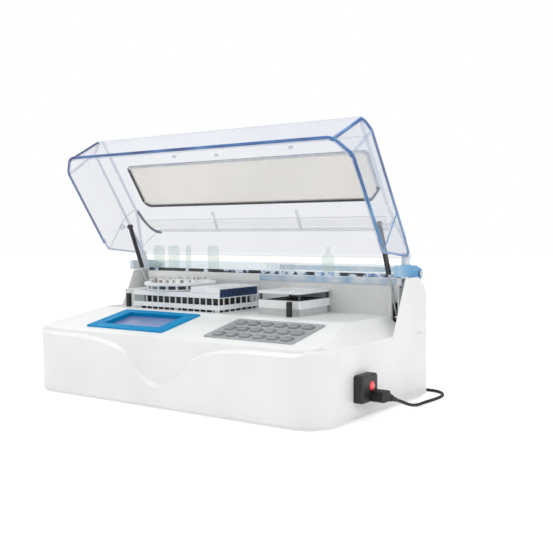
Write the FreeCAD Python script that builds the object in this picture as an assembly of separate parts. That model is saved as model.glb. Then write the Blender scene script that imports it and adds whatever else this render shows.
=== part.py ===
import FreeCAD, Part
import math
import os

os.makedirs("parts", exist_ok=True)

V = FreeCAD.Vector
X_AXIS = V(1, 0, 0)
Y_AXIS = V(0, 1, 0)
Z_AXIS = V(0, 0, 1)

# Body: millimetres, X to the right, Y to the rear, Z up from the table
HALF_WIDTH = 413.0
FRONT_Y = -223.0
REAR_Y = 222.0
CORNER_R = 69.0
BODY_BOTTOM = 6.0
SIDE_TOP = 150.0
CHEEK_TOP = 270.0
CHEEK_FOOT_Y = 64.0
CHEEK_HEAD_Y = 122.0
CHEEK_BACK_R = 54.0
SEAM_Y = -155.0
SKIN = 4.5
LEDGE_WIDTH = 14.0
BEVEL_HEIGHT = 7.5
BEVEL_DEPTH = 3.8

# Front panel: the lower part stands proud of the upper one along a wave with a dip in its middle
RECESS = 9.0
WAVE = [(-395, 149), (-268, 144), (-150, 134), (-100, 116), (-58, 78), (0, 52),
        (58, 78), (100, 116), (150, 134), (268, 144), (395, 149)]
WAVE_BEVEL = 7.0

# Console: a deck that rises to the work floor, with a side strip that falls to the ledge
DECK_FRONT_Y = -214.0
DECK_REAR_Y = -36.0
FLOOR_Z = 186.0
SLOPE = (FLOOR_Z - SIDE_TOP) / (DECK_REAR_Y - DECK_FRONT_Y)
TILT = math.degrees(math.atan(SLOPE))
STRIP_X = 357.0
CONSOLE_X = 399.0
CONSOLE_BACK_Y = 139.5
SHEET = 4.0

# Work area and rear compartment. The strut's pocket lies between the wall's end and a lining,
# the arm's pocket between the lining and the side
WALL_Y = 148.0
WALL_TOP = 251.0
BEAM_Y = 150.0
REAR_TOP = 268.0
POCKET_X = 358.0
LINING_X = 380.0
PILLAR_Y = 140.0
POCKET_BACK_Y = 206.0

# Display and keypad, both on the deck
BEZEL_X, BEZEL_Y = -138.0, -119.0
BEZEL_W, BEZEL_D = 240.0, 134.0
SCREEN_X, SCREEN_Y = -137.0, -117.0
SCREEN_W, SCREEN_D = 172.0, 88.0
KEYPAD_X, KEYPAD_Y = 211.0, -123.0
KEYPAD_W, KEYPAD_D = 228.0, 125.0
KEY_COLUMNS, KEY_ROWS = 6, 3
KEY_PITCH_X, KEY_PITCH_Y = 34.4, 37.5
KEY_GRID_X, KEY_GRID_Y = 214.0, -128.0
KEY_W, KEY_D = 25.0, 21.0

# Hood: measured closed, turned open about its hinge
HINGE_Y, HINGE_Z = 203.0, 276.0
HOOD_ANGLE = 56.7
HOOD_X = 406.5
HOOD_WALL = 4.0
HOOD_RIM_Z = 156.0
HOOD_TOP = 277.0
HOOD_FRONT_Y = -204.0
HOOD_TOP_FRONT_Y = -190.0
HOOD_CREASE_Y = 25.0
HOOD_REAR_Y, HOOD_REAR_Z = 147.0, 258.0
HOOD_SIDE_END_Y = 64.0
SHOULDER_X, SHOULDER_Z = 376.0, 259.0
CORNER_X, CORNER_Y = 375.0, -165.0
BEAD_OUT, BEAD_HEIGHT = 5.5, 5.0
WINDOW = (-333.0, 368.0, -112.0, 8.0)
WINDOW_R = 24.0
GASKET = 4.5

# Hood hardware, right hand side; the left is its mirror image
ARM_X = (391.0, 402.5)
STRUT_X = 371.5
STRUT_FOOT = (154.0, 180.0)
STRUT_HEAD = (74.0, 386.0)
CYLINDER_R, CYLINDER_LENGTH = 5.6, 115.0
ROD_R, ROD_LENGTH = 2.5, 113.4
PISTON = 4.0
GLAND = 3.0
PIN_R = 4.0
STUD_R = 3.0
RUNNING_FIT = 0.05

# Power inlet on the right side, connector, and mains lead
INLET_PROUD = 20.0
INLET_BOX = (-105.0, -43.0, 38.0, 93.0)
BUTTON_Y, BUTTON_Z, BUTTON_R = -67.0, 70.0, 8.5
CORD_R = 3.5
CORD_Z = 3.7
BOOT_START = V(446, -40, 46.7)
BOOT_END = V(446, 7, 31)
ROUTE = [(446, 7, 31), (446.5, 33, 22.3), (447.5, 62, 11), (449, 94, 4.6), (447, 128, CORD_Z),
         (450, 164, CORD_Z), (452, 200, CORD_Z), (447, 231, CORD_Z), (431, 256, CORD_Z),
         (405, 268, CORD_Z), (376, 265, CORD_Z), (349, 254, CORD_Z), (323, 246, CORD_Z),
         (297, 246, CORD_Z)]
COIL_X, COIL_R_OUT, COIL_R_IN = 290.0, 46.0, 30.2
COIL_TURNS_IN, COIL_TURNS_OUT = 2.1, 2.15
LAYER_RISE = 7.5

# The whole box is centred on the origin, so the body sits left of it by half the inlet's height
SHIFT_X = INLET_PROUD / 2


def save(name, shape):
    """Writes one sub-part, moved so that the origin is the bottom centre of the object."""
    if not shape.isValid():
        print("not valid:", name)
    placed = shape.copy()
    placed.translate(V(-SHIFT_X, 0, 0))
    placed.exportStep("parts/%s.step" % name)
    box = placed.BoundBox
    print("%-20s solids %2d  x %7.1f %7.1f  y %7.1f %7.1f  z %6.1f %6.1f"
          % (name, len(placed.Solids), box.XMin, box.XMax, box.YMin, box.YMax, box.ZMin, box.ZMax))


def block(x0, x1, y0, y1, z0, z1):
    return Part.makeBox(x1 - x0, y1 - y0, z1 - z0, V(x0, y0, z0))


def rod(start, axis, radius, length):
    return Part.makeCylinder(radius, length, start, axis)


def mirrored(shape):
    return shape.mirror(V(0, 0, 0), X_AXIS)


def joined(shapes):
    whole = shapes[0].fuse(shapes[1:])
    return whole.removeSplitter()


def prism_x(points, x0, x1):
    """Extrudes an outline given as (y, z) points from x0 to x1."""
    wire = Part.makePolygon([V(x0, y, z) for y, z in points] + [V(x0, *points[0])])
    return Part.Face(wire).extrude(V(x1 - x0, 0, 0))


def prism_y(points, y0, y1):
    """Extrudes an outline given as (x, z) points from y0 to y1."""
    corners = points + points[:1]
    wire = Part.makePolygon([V(x, y0, z) for x, z in corners])
    return Part.Face(wire).extrude(V(0, y1 - y0, 0))


def prism_z(points, z0, z1):
    """Extrudes an outline given as (x, y) points from z0 to z1."""
    corners = points + points[:1]
    wire = Part.makePolygon([V(x, y, z0) for x, y in corners])
    return Part.Face(wire).extrude(V(0, 0, z1 - z0))


def arc(a, middle, b):
    return Part.Arc(a, middle, b).toShape()


def rounded_wire(x0, x1, y0, y1, r, z):
    """A rectangle with round corners, at height z."""
    k = r * (1 - math.sqrt(0.5))
    corners = [(x0, y0, 1, 1), (x1, y0, -1, 1), (x1, y1, -1, -1), (x0, y1, 1, -1)]
    edges = []
    ends = []
    for x, y, sx, sy in corners:
        on_x = V(x + sx * r, y, z)
        on_y = V(x, y + sy * r, z)
        first, last = (on_y, on_x) if sx * sy > 0 else (on_x, on_y)
        ends.append((first, V(x + sx * k, y + sy * k, z), last))
    for i, (first, middle, last) in enumerate(ends):
        edges.append(arc(first, middle, last))
        edges.append(Part.makeLine(last, ends[(i + 1) % 4][0]))
    return Part.Wire(edges)


def rounded_plate(x0, x1, y0, y1, r, z0, z1):
    face = Part.Face(rounded_wire(x0, x1, y0, y1, r, z0))
    return face.extrude(V(0, 0, z1 - z0))


def deck_z(y):
    return SIDE_TOP + SLOPE * (y - DECK_FRONT_Y)


def on_deck(shape, x, y):
    """Places a shape that was made flat at the origin on the deck at x, y."""
    placed = shape.copy()
    placed.rotate(V(0, 0, 0), X_AXIS, TILT)
    placed.translate(V(x, y, deck_z(y)))
    return placed


def opened(shape):
    """Turns a hood piece from its closed place to its open one."""
    placed = shape.copy()
    placed.rotate(V(0, HINGE_Y, HINGE_Z), X_AXIS, -HOOD_ANGLE)
    return placed


# Plan outline of the body, shared by the covers and the base

def plan_wire(half, front, rear, r, z):
    k = r * (1 - math.sqrt(0.5))
    a, b = V(-half, rear, z), V(-half, front + r, z)
    c, d = V(-half + r, front, z), V(half - r, front, z)
    e, f = V(half, front + r, z), V(half, rear, z)
    return Part.Wire([Part.makeLine(a, b), arc(b, V(-half + k, front + k, z), c), Part.makeLine(c, d),
                      arc(d, V(half - k, front + k, z), e), Part.makeLine(e, f), Part.makeLine(f, a)])


def plan_prism(half, front, rear, r, z0, z1):
    return Part.Face(plan_wire(half, front, rear, r, z0)).extrude(V(0, 0, z1 - z0))


# Body pieces

def base_plate():
    inset = SKIN + 0.3
    plate = plan_prism(HALF_WIDTH - inset, FRONT_Y + inset, REAR_Y - 6.6, CORNER_R - inset,
                       BODY_BOTTOM, BODY_BOTTOM + 3)
    for x in (-200, -80, 40, 160):
        for row in range(6):
            y = -60 + 22 * row
            plate = plate.cut(rounded_plate(x - 30, x + 30, y, y + 8, 3.9, 0, 20))
    return plate


def wave_wire(y, drop):
    points = [V(x, y, z - drop) for x, z in WAVE]
    curve = Part.BSplineCurve()
    curve.interpolate(points)
    top = SIDE_TOP + 2
    left, right = points[0], points[-1]
    upper_right, upper_left = V(right.x, y, top), V(left.x, y, top)
    return Part.Wire([curve.toShape(), Part.makeLine(right, upper_right),
                      Part.makeLine(upper_right, upper_left), Part.makeLine(upper_left, left)])


def front_cover():
    """Wraps the front and both front corners, with a bevelled wave across its face."""
    bevel_z = SIDE_TOP - BEVEL_HEIGHT
    beyond = SEAM_Y + 20
    lower = plan_prism(HALF_WIDTH, FRONT_Y, beyond, CORNER_R, BODY_BOTTOM, bevel_z)
    bevel = Part.makeLoft([plan_wire(HALF_WIDTH, FRONT_Y, beyond, CORNER_R, bevel_z),
                           plan_wire(HALF_WIDTH - BEVEL_DEPTH, FRONT_Y + BEVEL_DEPTH, beyond,
                                     CORNER_R - BEVEL_DEPTH, SIDE_TOP)], True, True)
    cover = lower.fuse(bevel)
    front_inside = FRONT_Y + RECESS + SKIN
    inside = plan_prism(HALF_WIDTH - SKIN, front_inside, beyond, CORNER_R - 12, 0, SIDE_TOP - 4)
    low = plan_prism(HALF_WIDTH - SKIN, FRONT_Y + SKIN, beyond, CORNER_R - SKIN, 0, 34)
    opening = plan_prism(CONSOLE_X - 4, DECK_FRONT_Y + 4, beyond, 50, SIDE_TOP - 8, SIDE_TOP + 5)
    behind = block(-500, 500, SEAM_Y, beyond + 10, -10, 300)
    cover = cover.cut([inside, low, opening, behind])
    step = Part.makeLoft([wave_wire(FRONT_Y - 1, WAVE_BEVEL * 1.1), wave_wire(DECK_FRONT_Y, 0)],
                         True, True)
    return cover.cut(step).removeSplitter()


def cheek_wire(x, inset, bottom):
    """The outline of a side panel; inset draws its top, slope and back edges in."""
    run, rise = CHEEK_HEAD_Y - CHEEK_FOOT_Y, CHEEK_TOP - SIDE_TOP
    length = math.hypot(run, rise)
    shift = inset * length / rise
    low, high = SIDE_TOP - inset, CHEEK_TOP - inset
    foot = CHEEK_FOOT_Y + shift - inset * run / rise
    head = CHEEK_HEAD_Y + shift - inset * run / rise
    r = CHEEK_BACK_R - inset
    arc_y, arc_z = REAR_Y - CHEEK_BACK_R, CHEEK_TOP - CHEEK_BACK_R
    half = r * math.sqrt(0.5)
    p = [V(x, SEAM_Y, bottom), V(x, SEAM_Y, low), V(x, foot, low), V(x, head, high),
         V(x, arc_y, high), V(x, arc_y + r, arc_z), V(x, arc_y + r, bottom)]
    return Part.Wire([Part.makeLine(p[0], p[1]), Part.makeLine(p[1], p[2]), Part.makeLine(p[2], p[3]),
                      Part.makeLine(p[3], p[4]), arc(p[4], V(x, arc_y + half, arc_z + half), p[5]),
                      Part.makeLine(p[5], p[6]), Part.makeLine(p[6], p[0])])


def side_panel():
    """The right side: a skin with a bevelled edge, and a ledge that the hood's rim closes over."""
    mid = HALF_WIDTH - BEVEL_DEPTH
    inner = HALF_WIDTH - SKIN
    skin = Part.Face(cheek_wire(inner, 0, BODY_BOTTOM)).extrude(V(mid - inner, 0, 0))
    rings = [cheek_wire(mid, 0, BODY_BOTTOM), cheek_wire(HALF_WIDTH, BEVEL_HEIGHT, BODY_BOTTOM)]
    bevel = Part.makeLoft(rings, True, True)
    ledge = block(CONSOLE_X + 0.3, inner + 0.1, SEAM_Y, PILLAR_Y - 0.3, SIDE_TOP - 4, SIDE_TOP)
    panel = joined([skin, bevel, ledge])
    slot = block(HALF_WIDTH - 2, HALF_WIDTH + 5, 158, 187, 145.5, 149.5)
    return panel.cut(slot)


def right_side_panel(panel):
    """The right side also has the hole that the power inlet sits in."""
    y0, y1, z0, z1 = INLET_BOX
    return panel.cut(block(HALF_WIDTH - 10, HALF_WIDTH + 10, y0 + 5, y1 - 5, z0 + 5, z1 - 5))


def rear_cover_face(x, outer):
    """Half of the rear cover's section: its outer or inner line, closed in by the other."""
    off = 0 if outer else SHEET
    r = CHEEK_BACK_R - 2 - off
    arc_y, arc_z = REAR_Y - CHEEK_BACK_R, CHEEK_TOP - CHEEK_BACK_R
    half = r * math.sqrt(0.5)
    front = BEAM_Y + off
    top = REAR_TOP - off
    p = [V(x, front, WALL_TOP), V(x, front, top), V(x, arc_y, top), V(x, arc_y + r, arc_z),
         V(x, arc_y + r, BODY_BOTTOM)]
    return p, [Part.makeLine(p[0], p[1]), Part.makeLine(p[1], p[2]),
               arc(p[2], V(x, arc_y + half, arc_z + half), p[3]), Part.makeLine(p[3], p[4])]


def rear_cover():
    """One bent sheet: the fascia behind the work area, the top, the round back edge, the rear."""
    x0 = -(HALF_WIDTH - SKIN - 0.3)
    outer_points, outer_edges = rear_cover_face(x0, True)
    inner_points, inner_edges = rear_cover_face(x0, False)
    ends = [Part.makeLine(outer_points[-1], inner_points[-1]),
            Part.makeLine(inner_points[0], outer_points[0])]
    wire = Part.Wire(Part.__sortEdges__(outer_edges + inner_edges + ends))
    cover = Part.Face(wire).extrude(V(-2 * x0, 0, 0))
    pocket = LINING_X + 3.7
    cover = cover.cut([block(pocket, 500, 100, POCKET_BACK_Y, 200, 300),
                       block(-500, -pocket, 100, POCKET_BACK_Y, 200, 300)])
    slots = []
    for column in range(3):
        for row in range(7):
            x, z = -260 + 110 * column, 70 + 14 * row
            slots.append(block(x - 42, x + 42, 200, 240, z, z + 5))
    slots.append(block(150, 192, 200, 240, 60, 78))
    slots.append(block(210, 226, 200, 240, 62, 76))
    return cover.cut(slots)


def console_form(inset, drop):
    """The console's outer form, drawn in by inset at its edges and lowered by drop."""
    top = FLOOR_Z - drop
    form = plan_prism(CONSOLE_X - inset, DECK_FRONT_Y + inset, CONSOLE_BACK_Y, CORNER_R - LEDGE_WIDTH - inset,
                      SIDE_TOP - 10, top)
    front = [(-300, SIDE_TOP - drop + SLOPE * (-300 - DECK_FRONT_Y)), (-300, 400),
             (DECK_REAR_Y + 1000 * SLOPE, 400), (DECK_REAR_Y, top)]
    form = form.cut(prism_x(front, -500, 500))
    fall = (FLOOR_Z - SIDE_TOP) / (CONSOLE_X - STRIP_X)
    side = [(STRIP_X, top), (STRIP_X, 400), (460, 400), (460, top - fall * (460 - STRIP_X))]
    form = form.cut([prism_y(side, -300, 200), prism_y([(-x, z) for x, z in side], -300, 200)])
    return form


def deck_console():
    """Sloped deck, side strips, a seat for the hood's rim, and the opening that the tub fills."""
    console = console_form(0.0, 0.0)
    console = console.cut(block(-500, 500, -300, 200, SIDE_TOP - 20, SIDE_TOP))
    hollow = console_form(SHEET, SHEET + 0.1)
    console = console.cut(hollow)
    tub = block(-STRIP_X, STRIP_X, DECK_REAR_Y + 2, 300, 100, 300)
    seat = prism_z(hood_plan(BEAD_OUT + 1), HOOD_RIM_Z - 0.6, 200)
    seat = seat.cut(prism_z(hood_plan(-HOOD_WALL - 1), 150, 205))
    screen = on_deck(rounded_plate(-SCREEN_W / 2 - 7, SCREEN_W / 2 + 7, -SCREEN_D / 2 - 7, SCREEN_D / 2 + 7,
                                   3, -30, 30), SCREEN_X, SCREEN_Y)
    keys = on_deck(rounded_plate(-KEYPAD_W / 2 + 5, KEYPAD_W / 2 - 5, -KEYPAD_D / 2 + 5, KEYPAD_D / 2 - 5,
                                 5, -30, 30), KEYPAD_X, KEYPAD_Y)
    return console.cut([tub, seat, screen, keys]).removeSplitter()


def work_tub():
    """Work floor with a raised step, grey back wall with a ledge above it, and the two pairs of pockets."""
    floor_top = FLOOR_Z - 1.5
    front, half = DECK_REAR_Y + 2.3, STRIP_X - 0.3
    parts = [block(-half, half, front, WALL_Y, floor_top - 4, floor_top),
             block(-POCKET_X - 4, POCKET_X + 4, WALL_Y, WALL_Y + 4, floor_top - 4, WALL_TOP),
             block(-POCKET_X, POCKET_X, WALL_Y, BEAM_Y + 4, WALL_TOP - 4, WALL_TOP),
             block(-half, RACK[0] - 1, 38, WALL_Y, floor_top - 4, STEP_TOP)]
    plate = [(WALL_Y, 120), (204, 120), (204, 246), (WALL_Y, 246)]
    lining = [(PILLAR_Y, 146), (204, 146), (204, 246.5), (198, 252.5), (186, 259.5), (176, 262),
              (156, 262), (156, 246), (PILLAR_Y, 246)]
    floor_x = HALF_WIDTH - SKIN - 0.3
    pocket = [prism_x(plate, POCKET_X, POCKET_X + 4), prism_x(lining, LINING_X, LINING_X + 4),
              block(half, POCKET_X + 7, PILLAR_Y, WALL_Y, 146, WALL_TOP),
              block(POCKET_X + 4, LINING_X, WALL_Y, WALL_Y + 4, 214, WALL_TOP),
              block(POCKET_X, floor_x, PILLAR_Y, 204, 146, SIDE_TOP)]
    tub = joined(parts + pocket + [mirrored(piece) for piece in pocket])
    spindle = rod(V(CAROUSEL_X, CAROUSEL_Y, 100), Z_AXIS, SPINDLE_R + RUNNING_FIT, 100)
    under_step = block(4 - half, RACK[0] - 5, 42, WALL_Y - 4, 100, STEP_TOP - 4)
    return tub.cut([spindle, under_step])


# Display and keypad

def display_bezel():
    w, d = BEZEL_W / 2, BEZEL_D / 2
    sx, sy = SCREEN_X - BEZEL_X, (SCREEN_Y - BEZEL_Y)
    plate = rounded_plate(-w, w, -d, d, 6, 0, 2.2)
    rim = [rounded_wire(-w, w, -d, d, 6, 2.2),
           rounded_wire(-w + 1.5, w - 1.5, -d + 1.5, d - 1.5, 4.5, 3.4)]
    lip = Part.makeLoft(rim, True, True)
    skirt = rounded_plate(sx - SCREEN_W / 2 - 6.5, sx + SCREEN_W / 2 + 6.5, sy - SCREEN_D / 2 - 6.5,
                          sy + SCREEN_D / 2 + 6.5, 2.5, -6, 0)
    window = rounded_plate(sx - SCREEN_W / 2, sx + SCREEN_W / 2, sy - SCREEN_D / 2, sy + SCREEN_D / 2, 2,
                           -20, 20)
    return on_deck(joined([plate, lip, skirt]).cut(window), BEZEL_X, BEZEL_Y)


def display_screen():
    w, d = SCREEN_W / 2 + 6, SCREEN_D / 2 + 6
    glass = rounded_plate(-w, w, -d, d, 2, -8.5, -6)
    panel = rounded_plate(-w + 4, w - 4, -d + 4, d - 4, 2, -13, -8.5)
    return on_deck(joined([glass, panel]), SCREEN_X, SCREEN_Y)


def key_places():
    places = []
    for row in range(KEY_ROWS):
        for column in range(KEY_COLUMNS):
            x = KEY_GRID_X + (column - (KEY_COLUMNS - 1) / 2) * KEY_PITCH_X
            y = KEY_GRID_Y - (row - (KEY_ROWS - 1) / 2) * KEY_PITCH_Y
            places.append((x, y))
    return places


def keypad_plate():
    w, d = KEYPAD_W / 2, KEYPAD_D / 2
    plate = rounded_plate(-w, w, -d, d, 7, 0, 1.6)
    rim = [rounded_wire(-w, w, -d, d, 7, 1.6), rounded_wire(-w + 1, w - 1, -d + 1, d - 1, 6, 2.4)]
    edge = Part.makeLoft(rim, True, True)
    skirt = rounded_plate(-w + 5.5, w - 5.5, -d + 5.5, d - 5.5, 5, -5, 0)
    plate = joined([plate, edge, skirt])
    holes = []
    for x, y in key_places():
        half_w, half_d = KEY_W / 2 + 0.6, KEY_D / 2 + 0.6
        hole = rounded_plate(-half_w, half_w, -half_d, half_d, 5.6, -20, 20)
        hole.translate(V(x - KEYPAD_X, (y - KEYPAD_Y) / math.cos(math.radians(TILT)), 0))
        holes.append(hole)
    return on_deck(plate.cut(holes), KEYPAD_X, KEYPAD_Y)


def key_cap(x, y):
    """A domed cap: straight sides in its hole, a pillow above the plate."""
    w, d = KEY_W / 2, KEY_D / 2
    parts = [rounded_plate(-w, w, -d, d, 5, -3, 3)]
    levels = [(0, 3, 5), (1, 5.2, 4.8), (2.8, 7.0, 4.5), (5.5, 8.3, 3.5), (8, 8.7, 2)]
    for (i, z, r), (j, top, s) in zip(levels, levels[1:]):
        parts.append(Part.makeLoft([rounded_wire(-w + i, w - i, -d + i, d - i, r, z),
                                    rounded_wire(-w + j, w - j, -d + j, d - j, s, top)], True, True))
    cap = on_deck(joined(parts), 0, KEYPAD_Y)
    dy = y - KEYPAD_Y
    cap.translate(V(x, dy, dy * SLOPE))
    return cap


# Hood

def hood_form(t):
    """The closed hood's outer form, drawn in by t on every side but the rim and the rear edge."""
    lean = (HOOD_TOP_FRONT_Y - HOOD_FRONT_Y) / (HOOD_TOP - HOOD_RIM_Z)
    fall = (HOOD_TOP - HOOD_REAR_Z) / (HOOD_REAR_Y - HOOD_CREASE_Y)
    low = HOOD_RIM_Z if t == 0 else HOOD_RIM_Z - 40
    front_low = HOOD_FRONT_Y + t + (low - HOOD_RIM_Z) * lean
    front_high = HOOD_TOP_FRONT_Y + t - t * lean
    crease = HOOD_CREASE_Y
    rear_y, rear_z = HOOD_REAR_Y, HOOD_REAR_Z - t
    under_y, under_z = HOOD_REAR_Y - 3, HOOD_REAR_Z - HOOD_WALL
    side_end = HOOD_SIDE_END_Y
    if t:
        rear_y = HOOD_REAR_Y + 40
        rear_z = HOOD_REAR_Z - t - 40 * fall
        outline = [(front_low, low), (front_high, HOOD_TOP - t), (crease, HOOD_TOP - t), (rear_y, rear_z),
                   (rear_y, low)]
    else:
        outline = [(front_low, low), (front_high, HOOD_TOP), (crease, HOOD_TOP), (rear_y, rear_z),
                   (under_y, under_z), (side_end, low)]
    half = HOOD_X - t
    form = prism_x(outline, -half, half)
    sx = HOOD_X - SHOULDER_X
    sz = HOOD_TOP - SHOULDER_Z
    n = t * math.hypot(sx, sz) / sx
    steep = sz / sx
    shoulder = [(SHOULDER_X, HOOD_TOP - n), (SHOULDER_X - 60, HOOD_TOP - n + 60 * steep),
                (HOOD_X + 60, HOOD_TOP - n + 60 * steep), (HOOD_X + 60, SHOULDER_Z - n - 60 * steep)]
    form = form.cut([prism_y(shoulder, -400, 400), prism_y([(-x, z) for x, z in shoulder], -400, 400)])
    m = t * math.sqrt(2)
    x0, y0 = HOOD_X - m, CORNER_Y
    x1, y1 = CORNER_X - m, HOOD_FRONT_Y
    reach = 40 * (y0 - y1) / (x0 - x1)
    corner = [(x0 + 40, y0 + reach), (x1 - 40, y1 - reach), (x0 + 40, -400)]
    return form.cut([prism_z(corner, 0, 400), prism_z([(-x, y) for x, y in corner], 0, 400)])


def hood_plan(off):
    """Plan of the rim bead, off outside the hood's own outline."""
    side, front = HOOD_X + off, HOOD_FRONT_Y - off
    near = [(side, HOOD_SIDE_END_Y - 6), (side, CORNER_Y - 0.4 * off), (CORNER_X + 0.4 * off, front)]
    return near + [(-x, y) for x, y in reversed(near)]


def window_wire(off, z):
    """The window's outline: round corners, the right rear one cut off straight."""
    x0, x1, y0, y1 = WINDOW
    x0, x1, y0, y1 = x0 + off, x1 - off, y0 + off, y1 - off
    r = WINDOW_R - off
    k = r * (1 - math.sqrt(0.5))
    cut = 24 - 0.4 * off
    p = [V(x0, y1 - r, z), V(x0, y0 + 6, z), V(x0 + 6, y0, z), V(x1 - 6, y0, z), V(x1, y0 + 6, z),
         V(x1, y1 - cut, z), V(x1 - cut, y1, z), V(x0 + r, y1, z)]
    edges = [Part.makeLine(p[i], p[i + 1]) for i in range(7)]
    edges.append(arc(p[7], V(x0 + k, y1 - k, z), p[0]))
    return Part.Wire(edges)


def window_prism(off, z0, z1):
    return Part.Face(window_wire(off, z0)).extrude(V(0, 0, z1 - z0))


def hood_shell():
    """A clear open-bottomed tray with a bead round its rim and a stiffener inside its rear slope."""
    shell = hood_form(0).cut(hood_form(HOOD_WALL))
    bead = prism_z(hood_plan(BEAD_OUT), HOOD_RIM_Z, HOOD_RIM_Z + BEAD_HEIGHT)
    bead = bead.cut(prism_z(hood_plan(-HOOD_WALL), HOOD_RIM_Z - 5, HOOD_RIM_Z + 20))
    fall = (HOOD_TOP - HOOD_REAR_Z) / (HOOD_REAR_Y - HOOD_CREASE_Y)
    pieces = [shell, bead]
    z79 = HOOD_TOP - HOOD_WALL - fall * (79 - HOOD_CREASE_Y)
    pieces.append(prism_x([(76, z79 + 1.5), (82, z79 + 0.6), (82, z79 - 3), (76, z79 - 3)], -366, 366))
    for x in (-115, 137):
        z25 = HOOD_TOP - HOOD_WALL
        pieces.append(prism_x([(26, z25 + 0.5), (78, z79 + 0.7), (78, z79 - 3), (26, z25 - 3)], x - 2, x + 2))
    hood = joined(pieces)
    return opened(hood.cut(window_prism(0, HOOD_TOP - 20, HOOD_TOP + 20)))


def window_gasket():
    ring = window_prism(0, HOOD_TOP - HOOD_WALL - 1.5, HOOD_TOP + 1.5)
    return opened(ring.cut(window_prism(GASKET, HOOD_TOP - 20, HOOD_TOP + 20)))


def hood_window():
    return opened(window_prism(GASKET, HOOD_TOP - HOOD_WALL + 0.5, HOOD_TOP - 0.5))


def yz_solid(edges, x0, x1):
    """Extrudes a closed outline of edges, drawn in the plane x = 0, from x0 to x1."""
    face = Part.Face(Part.Wire(edges))
    face.translate(V(x0, 0, 0))
    return face.extrude(V(x1 - x0, 0, 0))


def hood_arm():
    """A bar from the hinge pin forward, with a riser that is bonded to the hood's side wall."""
    r = 13.0
    points = [V(0, HINGE_Y, HINGE_Z + r), V(0, 190, 294), V(0, 160, 297), V(0, 156, 300),
              V(0, 151.6, 313), V(0, 148.6, 321), V(0, 138, 324), V(0, 136, 299), V(0, 132, 297),
              V(0, 104, 297), V(0, 101, 294), V(0, 101, 276), V(0, 104, 273), V(0, 180, 268),
              V(0, HINGE_Y - 4, HINGE_Z - 12.4)]
    edges = [Part.makeLine(points[i], points[i + 1]) for i in range(len(points) - 1)]
    edges.append(arc(points[-1], V(0, HINGE_Y + r, HINGE_Z), points[0]))
    arm = yz_solid(edges, *ARM_X)
    return arm.cut(rod(V(300, HINGE_Y, HINGE_Z), X_AXIS, PIN_R + RUNNING_FIT, 200))


def hinge_bracket():
    """A plate on the lining's outer side that carries the hinge pin."""
    x0 = LINING_X + 4
    outline = [(170, 222), (194, 222), (205, 266), (205, 268.4), (213, 268.4), (213, 284), (206, 289),
               (196, 288), (186, 276)]
    plate = prism_x(outline, x0, x0 + 3)
    boss = rod(V(x0 + 3, HINGE_Y, HINGE_Z), X_AXIS, 8, 3.4)
    return joined([plate, boss])


def hinge_pin():
    x0 = LINING_X + 4 + 3 + 3.4
    pin = rod(V(x0, HINGE_Y, HINGE_Z), X_AXIS, PIN_R, ARM_X[1] + 0.6 - x0)
    head = rod(V(ARM_X[1] + 0.6, HINGE_Y, HINGE_Z), X_AXIS, 7, 3)
    return joined([pin, head])


def strut_direction():
    d = V(0, STRUT_HEAD[0] - STRUT_FOOT[0], STRUT_HEAD[1] - STRUT_FOOT[1])
    return d.normalize()


def strut_bracket():
    """A black plate on the pocket's inner side with the stud that the strut's foot turns on."""
    x0 = POCKET_X + 4
    outline = [(WALL_Y + 0.2, 150.2), (168, 150.2), (168, 198), (162, 213.5), (WALL_Y + 0.2, 213.5)]
    plate = prism_x(outline, x0, x0 + 3.5)
    stud = rod(V(x0 + 3.5, *STRUT_FOOT), X_AXIS, STUD_R, 12)
    cap = rod(V(x0 + 15.5, *STRUT_FOOT), X_AXIS, 4.6, 1.2)
    return joined([plate, stud, cap])


def strut_rod():
    d = strut_direction()
    foot = V(STRUT_X, *STRUT_FOOT)
    eye = rod(V(STRUT_X - 4, *STRUT_FOOT), X_AXIS, 6, 8)
    eye = eye.cut(rod(V(STRUT_X - 10, *STRUT_FOOT), X_AXIS, STUD_R + RUNNING_FIT, 20))
    neck = rod(foot + d * 4.2, d, 3.2, 4)
    shaft = rod(foot + d * 6.5, d, ROD_R, ROD_LENGTH - PISTON - 6)
    piston = rod(foot + d * (ROD_LENGTH - PISTON), d, 4 - 2 * RUNNING_FIT, PISTON)
    return eye.fuse([neck, shaft, piston])


def strut_cylinder():
    """A hollow tube with a gland at its foot and an eye at its head."""
    d = strut_direction()
    head = V(STRUT_X, *STRUT_HEAD)
    length = CYLINDER_LENGTH
    tube = rod(head - d * length, d, CYLINDER_R, length - 7)
    bore = rod(head - d * (length - GLAND), d, 4, length - GLAND - 10)
    gland = rod(head - d * (length + 1), d, ROD_R + RUNNING_FIT, 8)
    eye = rod(V(STRUT_X - 4.2, *STRUT_HEAD), X_AXIS, 6.5, 8.4)
    return joined([tube, eye, rod(head - d * 8, d, 4, 8)]).cut([bore, gland])


def strut_stud():
    """On the hood's side wall: a flange and a slim stud that ends beside the strut's head."""
    wall_x = HOOD_X - HOOD_WALL
    flange = rod(V(wall_x - 3, *STRUT_HEAD), X_AXIS, 8.5, 3)
    neck = rod(V(STRUT_X + 5.2, *STRUT_HEAD), X_AXIS, 3.2, wall_x - STRUT_X - 5.2)
    return joined([flange, neck])


# Power inlet

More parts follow.
